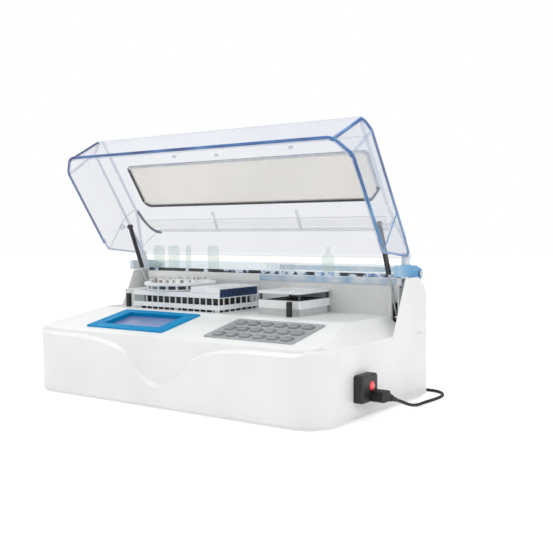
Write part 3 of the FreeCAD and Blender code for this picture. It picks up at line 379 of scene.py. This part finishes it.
def seal():
    """Dark rubber along the left and the rear, pale where the light shines through the front."""
    m = Mat("gasket", 0.6, spec=0.35)
    left_x, right_x, rear_z, right_z = -0.3375, 0.3, 0.4475, 0.466
    right = m.both(m.over(0, right_x), m.under(2, right_z))
    shaded = m.either(m.either(m.under(0, left_x), m.under(2, rear_z)), right)
    dark = m.shade(60, "#3A3D42", "#50545A")
    pale = m.shade(60, "#BFC3C9", "#D2D5D9")
    m.color(m.mix(shaded, pale, dark))
    m.roughness(0.5, 0.7, 200)
    m.bump(m.noise(2200, 4), 0.2, 0.0003)
    return m.m


def arm_blue():
    """Acrylic bars: sky blue near the right hinge, pale elsewhere."""
    m = Mat("arm_blue", 0.1, alpha=0.8, spec=0.6)
    riser_z = 0.2985
    along = m.math("ADD", m.axis(1), m.math("MULTIPLY", m.noise(30), 0.02))
    stops = [(0.0, "#A9CDEB"), (0.55, "#5FB0E0"), (1.0, "#3D98D3")]
    blue = m.ramp(m.spread(along, 0, 1, 0.11, 0.2), stops)
    pale = m.shade(30, "#DCE6EE", "#EAF1F6")
    bar = m.both(m.over(0, 0.0), m.under(2, riser_z))
    m.color(m.mix(bar, pale, blue))
    m.bump(m.noise(60, 2), 0.04, 0.001)
    return m.m


def patches():
    """What is seen through the tray's foot: dark patches at the left, blue and white ones at the right."""
    m = Mat("tray_foot", 0.12, spec=0.6)
    fac = m.math("ADD", m.noise(1.0, 2, m.stretched((34, 1, 30))), m.math("MULTIPLY", m.axis(0), 0.25))
    stops = [(0.0, "#14211C"), (0.42, "#0D1210"), (0.47, "#27324F"), (0.51, "#8FA6BE"), (0.56, "#EDF2F4"),
             (0.62, "#9DBBE0"), (0.7, "#2C4F86")]
    m.color(m.ramp(fac, stops))
    m.bump(m.noise(300, 2), 0.05, 0.0004)
    return m.m


def board():
    """Green laminate with darker parts on it."""
    m = Mat("board", 0.4)
    laminate_top = 0.0195
    green = m.shade(90, "#1B5638", "#267048", 0.4, 0.6)
    dark = m.shade(90, "#1C1D20", "#2C2E32", 0.4, 0.6)
    m.color(m.mix(m.over(2, laminate_top), green, dark))
    m.roughness(0.3, 0.5, 100)
    m.bump(m.noise(900, 2), 0.15, 0.0002)
    return m.m


MATERIALS = {
    "white": white_plastic(),
    "bezel": grey_plastic("bezel_blue", "#0084B8", "#008BC1", 1800, 0.1),
    "screen": screen(),
    "keypad": grey_plastic("keypad_grey", "#949A9D", "#A2A8AA"),
    "key": gloss_plastic("key_grey", "#70767A", "#848A8D"),
    "black": grey_plastic("black_plastic", "#121315", "#1B1C1F"),
    "red": red_lens(),
    "cord": rubber("cord_black", "#0E0E10", "#19191C"),
    "clear": clear("hood_clear", "#C3CCE0", "#D4DCEA", 0.16),
    "fold": clear("hood_fold", "#A7B9D4", "#C2CFE2", 0.42),
    "band": clear("hood_band", "#D6D8DF", "#E4E6EA", 0.35, 0.2),
    "line": clear("hood_line", "#F3F5F8", "#FAFBFC", 0.8, 0.2),
    "haze": clear("hood_haze", "#EDE8E3", "#F3F0EC", 0.15, 0.2),
    "strip": clear("hood_strip", "#4F5663", "#858C99", 0.85, 0.2, 30),
    "edge": edge_blue(),
    "window": clear("window_clear", "#EAE4DA", "#F0EBE3", 0.45, 0.08),
    "gasket": seal(),
    "arm": arm_blue(),
    "patches": patches(),
    "shine": clear("tray_shine", "#A9CDED", "#F4F8FA", 0.6, 0.15, 30),
    "tray": clear("tray_clear", "#CDE7F5", "#E0F1FA", 0.16),
    "stud": clear("stud_clear", "#C6D6E8", "#DCE7F2", 0.3),
    "steel": brushed("steel", "#A9ADB1", "#C9CCCF"),
    "black_steel": gloss_plastic("black_enamel", "#08090A", "#0F1012"),
    "tub": grey_plastic("tub_grey", "#D3D5D4", "#DCDDDC"),
    "rack": rack(),
    "plate": gloss_plastic("plate_white", "#E6E8EA", "#EBEDEF"),
    "carousel": carousel(),
    "heater": heater(),
    "reagent": grey_plastic("reagent_blue", "#152748", "#22406A"),
    "bottle": clear("bottle_green", "#C8E6D2", "#DAF0E0", 0.25),
    "zinc": brushed("zinc", "#9DA1A4", "#B7BABD", (60, 60, 500)),
    "board": board(),
    "foot": rubber("foot_rubber", "#151617", "#212224"),
}

KEYPAD_KEYS = ["key_%02d" % i for i in range(1, 19)]

# Nodes that keep their own solids, by material
DRESS = {
    "white": ["front_cover", "left_side_panel", "right_side_panel", "rear_cover", "deck_console"],
    "bezel": ["display_bezel"], "screen": ["display_screen"], "keypad": ["keypad_plate"],
    "key": KEYPAD_KEYS,
    "black": ["power_inlet", "rack_posts"], "red": ["power_button"],
    "cord": ["inlet_connector", "mains_plug"], "window": ["hood_window"], "gasket": ["window_gasket"],
    "arm": ["hood_arms"], "tray": ["bottle_tray"], "stud": ["strut_studs"],
    "steel": ["hinge_brackets", "hinge_pins", "strut_rod_left", "strut_rod_right", "screws"],
    "black_steel": ["strut_brackets", "strut_cylinder_left", "strut_cylinder_right"],
    "tub": ["work_tub"], "rack": ["rack_base"], "plate": ["rack_plate", "reagent_lid", "reaction_plate"],
    "carousel": ["sample_carousel"], "heater": ["reaction_block"], "bottle": ["reagent_bottles"],
    "reagent": ["reagent_box"],
    "zinc": ["base_plate", "power_supply"], "board": ["main_board"], "foot": ["feet"],
}

# Width of their softened edges, in millimetres
SOFT_EDGES = {"front_cover": 0.9, "left_side_panel": 0.9, "right_side_panel": 0.9, "rear_cover": 0.9,
              "deck_console": 0.8, "work_tub": 0.6, "display_bezel": 0.5, "keypad_plate": 0.4,
              "power_inlet": 0.6, "power_button": 0.4, "inlet_connector": 0.6, "mains_plug": 0.6,
              "hinge_brackets": 0.4, "rack_plate": 0.6, "reagent_lid": 0.6, "reaction_plate": 0.5,
              "reaction_block": 0.5, "reagent_box": 0.4, "rack_posts": 0.8, "reagent_bottles": 0.6,
              "hood_arms": 0.5, "sample_carousel": 0.4, "strut_brackets": 0.4, "feet": 0.8}
SOFT_EDGES.update(dict.fromkeys(KEYPAD_KEYS, 0.7))


def soften(obj, width):
    """Rounds a node's edges with modifiers; its own mesh stays as it is."""
    weld = obj.modifiers.new("weld", "WELD")
    weld.merge_threshold = 0.00002
    bevel = obj.modifiers.new("bevel", "BEVEL")
    bevel.width = width * MM
    bevel.segments = 2
    bevel.limit_method = "ANGLE"
    bevel.angle_limit = math.radians(35)
    bevel.harden_normals = True


def dress_nodes():
    """Gives each of these nodes its material, and softened edges where it has a width for them."""
    for key, names in DRESS.items():
        for name in names:
            obj = NODES[name]
            obj.data.materials.clear()
            obj.data.materials.append(MATERIALS[key])
            if name in SOFT_EDGES:
                soften(obj, SOFT_EDGES[name])


# Pieces

def new_object(name, data, keys=()):
    """An object in the scene, with the materials of these keys."""
    obj = bpy.data.objects.new(name, data)
    bpy.context.scene.collection.objects.link(obj)
    for key in keys:
        data.materials.append(MATERIALS[key])
    return obj


def mesh_from(name, bm):
    """The bmesh as a mesh; the bmesh is freed."""
    mesh = bpy.data.meshes.new(name)
    bm.to_mesh(mesh)
    bm.free()
    return mesh


def open_matrix():
    """From the closed hood in millimetres to its open place in metres."""
    y, z = HINGE
    turn = Matrix.Translation((0, y, z)) @ Matrix.Rotation(math.radians(-HOOD_ANGLE), 4, "X")
    turn = turn @ Matrix.Translation((0, -y, -z))
    return PLACE @ turn


def cut_away(bm, at, normal):
    """Takes off what lies beyond a plane and closes the cut."""
    parts = bm.verts[:] + bm.edges[:] + bm.faces[:]
    out = bmesh.ops.bisect_plane(bm, geom=parts, plane_co=at, plane_no=normal, clear_outer=True)
    rim = [e for e in out["geom_cut"] if isinstance(e, bmesh.types.BMEdge)]
    bmesh.ops.holes_fill(bm, edges=rim, sides=0)


def hood_skin():
    """The hood's outer surface as one open bmesh, in closed millimetres."""
    bm = bmesh.new()
    ends = []
    for x in (-HOOD_X, HOOD_X):
        ends.append([bm.verts.new((x, y, z)) for y, z in HOOD_OUTLINE])
    count = len(HOOD_OUTLINE)
    bm.faces.new(ends[0])
    bm.faces.new(list(reversed(ends[1])))
    for i in range(count):
        j = (i + 1) % count
        bm.faces.new([ends[0][j], ends[0][i], ends[1][i], ends[1][j]])
    bmesh.ops.recalc_face_normals(bm, faces=bm.faces)
    for side in (-1, 1):
        cut_away(bm, (side * SHOULDER[0], 0, HOOD_TOP),
                 (side * (HOOD_TOP - SHOULDER[1]), 0, HOOD_X - SHOULDER[0]))
        cut_away(bm, (side * CORNER[0], HOOD_FRONT_Y, 0),
                 (side * (CORNER[1] - HOOD_FRONT_Y), CORNER[0] - HOOD_X, 0))
    bm.normal_update()
    below = [f for f in bm.faces if f.normal.z < -0.3]
    bmesh.ops.delete(bm, geom=below, context="FACES")
    return bm


def window_cutter():
    """A prism over the window's outline, for cutting the opening in the hood's top."""
    x0, x1, y0, y1 = WINDOW
    low_z, high_z, chamfer, r, steps = 262, 292, 6, 24.0, 8
    points = [(x0, y0 + chamfer), (x0 + chamfer, y0), (x1 - chamfer, y0), (x1, y0 + chamfer), (x1, y1 - r),
              (x1 - r, y1)]
    for i in range(steps + 1):
        a = math.radians(90 + 90 * i / steps)
        points.append((x0 + r + r * math.cos(a), y1 - r + r * math.sin(a)))
    bm = bmesh.new()
    low = [bm.verts.new((x, y, low_z)) for x, y in points]
    high = [bm.verts.new((x, y, high_z)) for x, y in points]
    bm.faces.new(list(reversed(low)))
    bm.faces.new(high)
    n = len(points)
    for i in range(n):
        j = (i + 1) % n
        bm.faces.new([low[i], low[j], high[j], high[i]])
    return new_object("cutter", mesh_from("cutter", bm))


def applied(obj, matrix):
    """A mesh with the object's modifiers worked in, moved by the matrix."""
    graph = bpy.context.evaluated_depsgraph_get()
    mesh = bpy.data.meshes.new_from_object(obj.evaluated_get(graph))
    mesh.transform(matrix)
    return mesh


def fold_kind(x, y, z):
    """The material of a fold of the closed hood: blue at the front corners, plain along the crease."""
    if 366 < abs(x) < 390 and y < -184 and z < 272:
        return SKIN_KEYS.index("edge")
    if abs(y - CREASE_Y) < 9 and z > 255:
        return SKIN_KEYS.index("clear")
    return SKIN_KEYS.index("fold")


def raw_hood():
    """The folded skin, closed, in millimetres, with its wall and its opening still as modifiers."""
    bm = hood_skin()
    folds = [e for e in bm.edges if len(e.link_faces) == 2 and e.calc_face_angle() > 0.1]
    bmesh.ops.bevel(bm, geom=folds, offset=FOLD_R, segments=4, profile=0.5, affect="EDGES",
                    clamp_overlap=True, material=SKIN_KEYS.index("fold"))
    for f in bm.faces:
        if f.material_index:
            f.material_index = fold_kind(*f.calc_center_median())
    raw = new_object("hood_raw", mesh_from("hood_raw", bm), SKIN_KEYS)
    solid = raw.modifiers.new("wall", "SOLIDIFY")
    solid.thickness = HOOD_WALL
    solid.offset = -1
    solid.use_even_offset = True
    solid.use_rim = True
    solid.material_offset_rim = 1
    cut = raw.modifiers.new("cut", "BOOLEAN")
    cut.operation = "DIFFERENCE"
    cut.object = window_cutter()
    cut.solver = "EXACT"
    return raw


def make_hood():
    """Clear panels with thick rounded folds, in one piece."""
    raw = raw_hood()
    cutter = raw.modifiers["cut"].object
    mesh = applied(raw, open_matrix())
    bpy.data.objects.remove(raw)
    bpy.data.objects.remove(cutter)
    mesh.shade_smooth()
    mesh.set_sharp_from_angle(angle=math.radians(40))
    hood = new_object("hood_clear", mesh)
    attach(hood, "hood")
    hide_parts("hood_shell")


def bar_ring(width, height, sides=12):
    """A bar's section: an ellipse drawn out towards its rectangle."""
    ring = []
    for i in range(sides):
        a = 2 * math.pi * i / sides
        c, s = math.cos(a), math.sin(a)
        k = (abs(c) ** 4 + abs(s) ** 4) ** -0.25
        ring.append((c * k * width / 2, s * k * height / 2))
    return ring


def swept(name, points, width, height, closed, key, matrix, up=(0, 0, 1)):
    """A rounded bar along points: wide across the path, high along up."""
    points = [Vector(p) for p in points]
    up = Vector(up)
    ring = bar_ring(width, height)
    bm = bmesh.new()
    rings = []
    n = len(points)
    for i, p in enumerate(points):
        before = points[i - 1] if i or closed else points[i]
        after = points[(i + 1) % n] if i < n - 1 or closed else points[i]
        a, b = p - before, after - p
        a = a.normalized() if a.length else b.normalized()
        b = b.normalized() if b.length else a
        mid = (a + b).normalized()
        side = mid.cross(up).normalized()
        mitre = 1 / max(0.5, mid.dot(a))
        rings.append([bm.verts.new(p + side * u * mitre + up * v) for u, v in ring])
    for i in range(n if closed else n - 1):
        r0, r1 = rings[i], rings[(i + 1) % n]
        for k in range(len(ring)):
            j = (k + 1) % len(ring)
            bm.faces.new([r0[k], r0[j], r1[j], r1[k]])
    if not closed:
        bm.faces.new(rings[0])
        bm.faces.new(list(reversed(rings[-1])))
    bmesh.ops.recalc_face_normals(bm, faces=bm.faces)
    mesh = mesh_from(name, bm)
    mesh.transform(matrix)
    mesh.shade_smooth()
    mesh.set_sharp_from_angle(angle=math.radians(50))
    return new_object(name, mesh, [key])


def turned(points, radius, steps=6):
    """The path with its inner corners rounded."""
    out = [Vector(points[0])]
    for a, b, c in zip(points, points[1:], points[2:]):
        a, b, c = Vector(a), Vector(b), Vector(c)
        u, w = (a - b).normalized(), (c - b).normalized()
        reach = min(radius / math.tan(u.angle(w) / 2), 0.45 * (a - b).length, 0.45 * (c - b).length)
        start, end = b + u * reach, b + w * reach
        for i in range(steps + 1):
            t = i / steps
            out.append(start.lerp(b, t).lerp(b.lerp(end, t), t))
    out.append(Vector(points[-1]))
    return out


def slope_z(y, below=0.0):
    """Height of the closed hood's rear slope at y."""
    return HOOD_TOP - (y - CREASE_Y) * REAR_FALL - below


def hood_bar(name, points, width, height, key, up=(0, 0, 1), round_r=0.0):
    """A bar on the hood, laid out with the hood closed."""
    path = turned(points, round_r) if round_r else points
    bar = swept(name, path, width, height, False, key, open_matrix(), up)
    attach(bar, "hood")


def make_rim():
    """The bead round the hood's mouth, bars along thick folds, and the lines where panels are bonded."""
    side, front, z = HOOD_X + 2.2, HOOD_FRONT_Y - 2.2, 158.5
    right = [(side, 44, z), (side, -166, z), (376, front, z)]
    path = right + [(-x, y, z) for x, y, z in reversed(right)]
    hood_bar("hood_rim", path, 6.5, 4.6, "edge", round_r=30)
    for name, sx, key in (("right", 1, "edge"), ("left", -1, "fold")):
        path = [(sx * 404.8, 30, 158.8), (sx * 404.8, 61.5, 158.8), (sx * 404.3, 141, 253.4),
                (sx * 403.6, 90, 257)]
        hood_bar("hood_rear_edge_" + name, path, 4.6, 3.6, key, (1, 0, 0), 14)
    corner = [(376.5, -201.5, 162), (384, -190.4, 268.5), (403.6, -166, 257.6), (403.6, 100, 257.6)]
    hood_bar("hood_corner_right", corner, 5.0, 5.0, "edge", (1, -0.5, 0.2), 24)
    corner = [(-376.5, -201.5, 162), (-383.5, -190.5, 266)]
    hood_bar("hood_corner_left", corner, 5.0, 5.0, "edge", (1, 0, 0))
    hood_bar("hood_side_line_right", [(405.6, 27, 257), (405.6, 62, 162)], 4.0, 2.2, "edge", (1, 0, 0))
    left_line = [(-383, 17, 272.5), (-404.5, 28, 253), (-404.5, 63, 162)]
    hood_bar("hood_side_line_left", left_line, 3.0, 2.2, "band", (1, 0, 0))
    hood_bar("hood_front_line", [(-380, -146, 272), (380, -146, 272)], 3.0, 1.6, "line")
    for i, (x, y) in enumerate(((-158, -132), (-28, -128), (186, -134))):
        hood_bar("hood_clip_%d" % i, [(x - 5, y, 271.5), (x + 5, y, 271.5)], 7.0, 2.4, "fold")


def make_stiffener():
    """On the rear slope: a pale band with a dark curved end, a hazy strip under a fine line, two ribs."""
    curve = [(-371.5, 20.0), (-366.7, 33.8), (-361.3, 46.8), (-352.2, 59.8), (-342.5, 71.5), (-327.9, 80.2),
             (-312.0, 82.0)]
    strip = [(x, y, slope_z(max(y, CREASE_Y), 2.4)) for x, y in curve]
    hood_bar("hood_strip", strip, 9.0, 3.6, "strip")
    right = 366
    lines = (("band", -312, 76, 4.0, 9.0, 5.0), ("haze", -342, 60, 3.6, 20.0, 1.6),
             ("line", -350, 47.5, 2.6, 2.4, 2.4))
    for key, left, y, below, width, height in lines:
        z = slope_z(y, below)
        hood_bar("hood_" + key, [(left, y, z), (right, y, z)], width, height, key)
    for name, x in (("left", -115), ("right", 137)):
        rib = [(x, y, slope_z(y, 3.6)) for y in (27, 76)]
        hood_bar("hood_rib_" + name, rib, 8.0, 3.0, "band")
    end = [(x, y, slope_z(y, 2.0)) for x, y in ((-334, 86), (-400, 125))]
    hood_bar("hood_strip_end", end, 2.0, 2.4, "fold")


def tray_details():
    """The tray's dark foot, its partitions' pale edges, and blue light on its back and its front lip."""
    strips = (("tray_foot", -382, 382, 152.3, 272.5, 1.3, 8.2, "patches"),
              ("tray_lip", -4, 372, 149.3, 260, 0.9, 15.0, "shine"),
              ("tray_back", 19, 379, 204.2, 283, 0.9, 12.0, "shine"))
    pieces = []
    for name, x0, x1, y, z, depth, height, key in strips:
        pieces.append(swept(name, [(x0, y, z), (x1, y, z)], depth, height, False, key, PLACE))
    for i, x in enumerate((17, 45, 73)):
        line = [(x, 152.4, 277), (x, 152.4, 295.6)]
        pieces.append(swept("tray_line_%d" % i, line, 1.8, 1.2, False, "plate", PLACE, up=(0, 1, 0)))
    for piece in pieces:
        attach(piece, "main_unit")


# Mains lead

def smooth(t):
    """Eases from 0 to 1."""
    t = max(0.0, min(1.0, t))
    return t * t * (3 - 2 * t)


def coil_point(turn):
    """A point of the coil: it winds inward on the table, then outward on top of itself."""
    rate = (COIL_R_OUT - COIL_R_IN) / COIL_TURNS_IN
    r = COIL_R_IN + rate * abs(turn - COIL_TURNS_IN)
    z = LEAD_Z + LAYER_RISE * smooth(2 * (turn - COIL_TURNS_IN) + 0.5)
    angle = -math.pi / 2 - 2 * math.pi * turn
    y = ROUTE[-1][1] + COIL_R_OUT
    return Vector((COIL_X + r * math.cos(angle), y + r * math.sin(angle), z))


def lead_path():
    """The lead's points from the connector along the table and round the coil to the plug."""
    total = COIL_TURNS_IN + COIL_TURNS_OUT
    steps = int(total * 16)
    points = [Vector(p) for p in ROUTE]
    points += [coil_point(total * i / steps) for i in range(steps + 1)]
    end = points[-1]
    heading = end - coil_point(total - 0.001)
    heading.z = 0
    points.append(end + heading.normalized() * 7)
    return points


def make_lead():
    """One free line from the connector along the table into a coil, to the plug."""
    points = lead_path()
    curve = bpy.data.curves.new("mains_lead", "CURVE")
    curve.dimensions = "3D"
    curve.bevel_depth = LEAD_R * MM
    curve.bevel_resolution = 5
    curve.resolution_u = 6
    spline = curve.splines.new("NURBS")
    spline.points.add(len(points) - 1)
    for point, at in zip(spline.points, points):
        point.co = (*(at * MM + SHIFT), 1)
    spline.order_u = 3
    spline.use_endpoint_u = True
    lead = new_object("mains_lead", curve, ["cord"])
    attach(lead, "main_unit")
    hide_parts("mains_cord", "cord_coil")
    tie = make_tie()


def make_tie():
    """A flat strap round the coil's turns at one place."""
    y = ROUTE[-1][1] + COIL_R_OUT
    x0, x1, z0, z1, r = COIL_X + 24.5, COIL_X + 51.5, 0.1, 16.0, 4
    bottom = z0 + 0.6
    path = [(x0 + r, y, z1), (x1 - r, y, z1), (x1, y, z1 - r), (x1, y, z0 + r),
            (x1 - r, y, bottom), (x0 + r, y, bottom), (x0, y, z0 + r), (x0, y, z1 - r)]
    tie = swept("coil_tie", path, 1.0, 9.0, True, "cord", PLACE, up=(0, 1, 0))
    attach(tie, "main_unit")
    return tie


# Stage, light and camera

def make_camera():
    """The photograph's camera: turned, tilted down and rolled a little."""
    yaw, pitch, roll = (math.radians(v) for v in (CAMERA_YAW, CAMERA_PITCH, CAMERA_ROLL))
    forward = Vector((-math.sin(yaw) * math.cos(pitch), math.cos(yaw) * math.cos(pitch), -math.sin(pitch)))
    right = forward.cross(Vector((0, 0, 1))).normalized()
    up = right.cross(forward)
    c, s = math.cos(roll), math.sin(roll)
    right, up = right * c + up * s, up * c - right * s
    data = bpy.data.cameras.new("camera")
    data.lens = CAMERA_LENS
    data.sensor_width = SENSOR
    data.clip_start = 0.05
    camera = new_object("camera", data)
    facing = Matrix((right, up, -forward)).transposed().to_4x4()
    camera.matrix_world = Matrix.Translation(CAMERA_AT) @ facing
    bpy.context.scene.camera = camera


def make_floor():
    """A pale floor that shows white to the camera and still keeps the shadow."""
    bm = bmesh.new()
    bmesh.ops.create_grid(bm, x_segments=8, y_segments=8, size=9.0)
    floor = new_object("floor", mesh_from("floor", bm))
    m = Mat("floor", 0.9, spec=0.0)
    m.tones("#F4F4F4", "#FAFAFA", 2)
    path = m.node("ShaderNodeLightPath")
    seen = m.either(path.outputs["Is Camera Ray"], path.outputs["Is Transmission Ray"])
    seen = m.either(seen, path.outputs["Is Glossy Ray"])
    m.set("Emission Color", (1, 1, 1, 1))
    m.link(m.math("MULTIPLY", seen, FLOOR_GLOW), m.bsdf.inputs["Emission Strength"])
    floor.data.materials.append(m.m)
    floor.location.z = -0.0005


def make_world():
    """White to the camera and in reflections, dimmer as a light."""
    world = bpy.data.worlds.new("studio")
    bpy.context.scene.world = world
    world.use_nodes = True
    nt = world.node_tree
    background = nt.nodes["Background"]
    background.inputs["Color"].default_value = (1, 1, 1, 1)
    path = nt.nodes.new("ShaderNodeLightPath")
    seen = path.outputs["Is Camera Ray"]
    for name in ("Is Glossy Ray", "Is Transmission Ray"):
        top = nt.nodes.new("ShaderNodeMath")
        top.operation = "MAXIMUM"
        nt.links.new(seen, top.inputs[0])
        nt.links.new(path.outputs[name], top.inputs[1])
        seen = top.outputs[0]
    span = nt.nodes.new("ShaderNodeMapRange")
    span.inputs["To Min"].default_value = SKY_LIGHT
    span.inputs["To Max"].default_value = 1.0
    nt.links.new(seen, span.inputs["Value"])
    nt.links.new(span.outputs["Result"], background.inputs["Strength"])


def lamp(name, at, target, size, power):
    """A rectangular lamp, aimed at a target."""
    data = bpy.data.lights.new(name, "AREA")
    data.shape = "RECTANGLE"
    data.size, data.size_y = size
    data.energy = power
    obj = new_object(name, data)
    obj.location = at
    obj.rotation_euler = (Vector(target) - Vector(at)).to_track_quat("-Z", "Y").to_euler()


make_camera()
make_lead()
dress_nodes()
make_hood()
make_rim()
make_stiffener()
tray_details()
make_floor()
make_world()
lamp("key", (-1.4, -1.6, 2.6), (0, 0, 0.2), (1.8, 1.8), 27)
lamp("fill", (2.4, -1.2, 1.6), (0, 0, 0.2), (1.6, 1.6), 10)
lamp("top", (0.1, 0.3, 2.9), (0, 0.05, 0.2), (1.8, 1.8), 24)
lamp("side", (2.6, 0.5, 1.3), (0.3, 0.1, 0.2), (1.4, 1.4), 7)
bpy.context.scene.view_settings.view_transform = "Standard"
